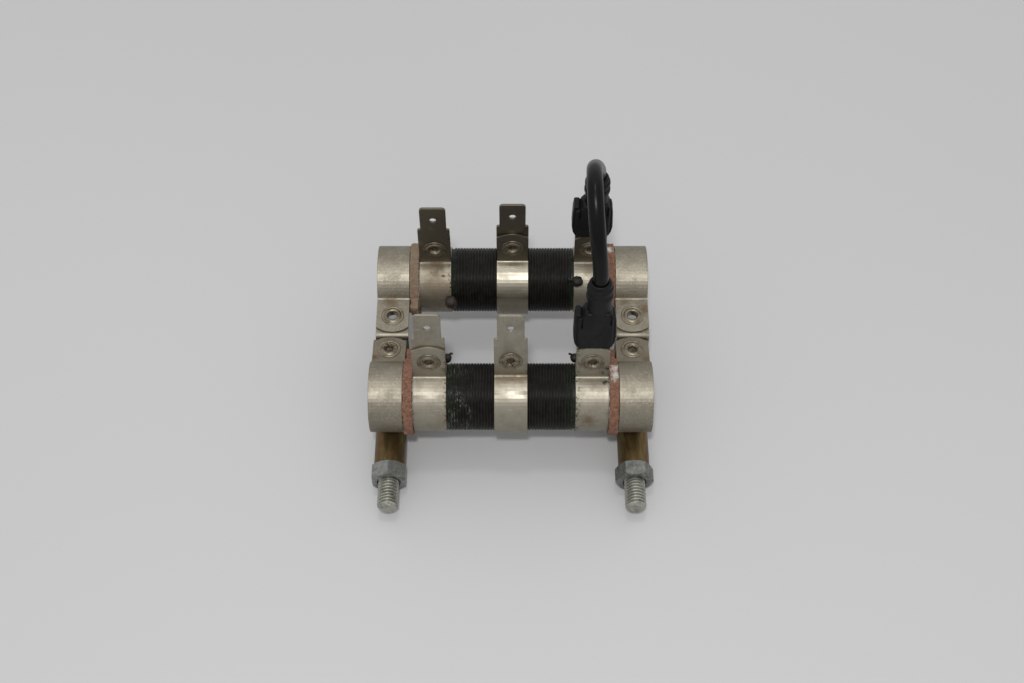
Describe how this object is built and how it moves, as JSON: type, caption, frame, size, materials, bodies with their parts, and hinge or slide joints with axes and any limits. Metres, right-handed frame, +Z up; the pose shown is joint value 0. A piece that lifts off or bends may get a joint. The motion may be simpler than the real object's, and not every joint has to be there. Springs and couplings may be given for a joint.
{
  "type": "twin tubular wirewound power resistor",
  "caption": "Two wire-wound ceramic tubes held side by side by folded end clamps on spaced studs, with blade tab terminals and a bridging lead.",
  "frame": {"origin": "centre of the footprint, on the surface that the part rests on", "axes": "+X along the two tubes, the studs point to -Y, +Z up along the tab terminals"},
  "size_m": [0.0678, 0.068, 0.0781],
  "materials": {
    "ceramic": "unglazed white ceramic",
    "winding": "black oxidised resistance wire, satin",
    "insulation": "salmon coloured fibrous strip",
    "nickel_strip": "nickel plated strip, warm, lightly scratched",
    "eyelet": "nickel plated rolled eyelet",
    "weld_bead": "black fused bead",
    "spacer": "yellow passivated steel tube",
    "zinc": "zinc plated steel",
    "sleeve": "black soft plastic, satin",
    "contact": "tinned brass",
    "lead": "black lead insulation, satin"
  },
  "bodies": {
    "root": {"ceramic_core_front": "ceramic", "ceramic_core_back": "ceramic", "winding_front": "winding", "winding_back": "winding", "insulation_front_left": "insulation", "insulation_front_right": "insulation", "insulation_back_left": "insulation", "insulation_back_right": "insulation", "foot_clamp_front_left": "nickel_strip", "foot_clamp_front_right": "nickel_strip", "foot_clamp_back_left": "nickel_strip", "foot_clamp_back_right": "nickel_strip", "clamp_eyelet_front_left": "eyelet", "clamp_eyelet_front_right": "eyelet", "clamp_eyelet_back_left": "eyelet", "clamp_eyelet_back_right": "eyelet", "terminal_front_left": "nickel_strip", "terminal_front_middle": "nickel_strip", "terminal_front_right": "nickel_strip", "terminal_back_left": "nickel_strip", "terminal_back_middle": "nickel_strip", "terminal_back_right": "nickel_strip", "terminal_eyelet_front_left": "eyelet", "terminal_eyelet_front_middle": "eyelet", "terminal_eyelet_front_right": "eyelet", "terminal_eyelet_back_left": "eyelet", "terminal_eyelet_back_middle": "eyelet", "terminal_eyelet_back_right": "eyelet", "weld_bead_front_left": "weld_bead", "weld_bead_front_right": "weld_bead", "weld_bead_back_left": "weld_bead", "weld_bead_back_right": "weld_bead", "spacer_left": "spacer", "spacer_right": "spacer", "bolt_left": "zinc", "bolt_right": "zinc", "nut_left": "zinc", "nut_right": "zinc", "receptacle_sleeve_front": "sleeve", "receptacle_sleeve_back": "sleeve", "receptacle_contact_front": "contact", "receptacle_contact_back": "contact", "bridge_lead": "lead"}
  },
  "joints": []
}
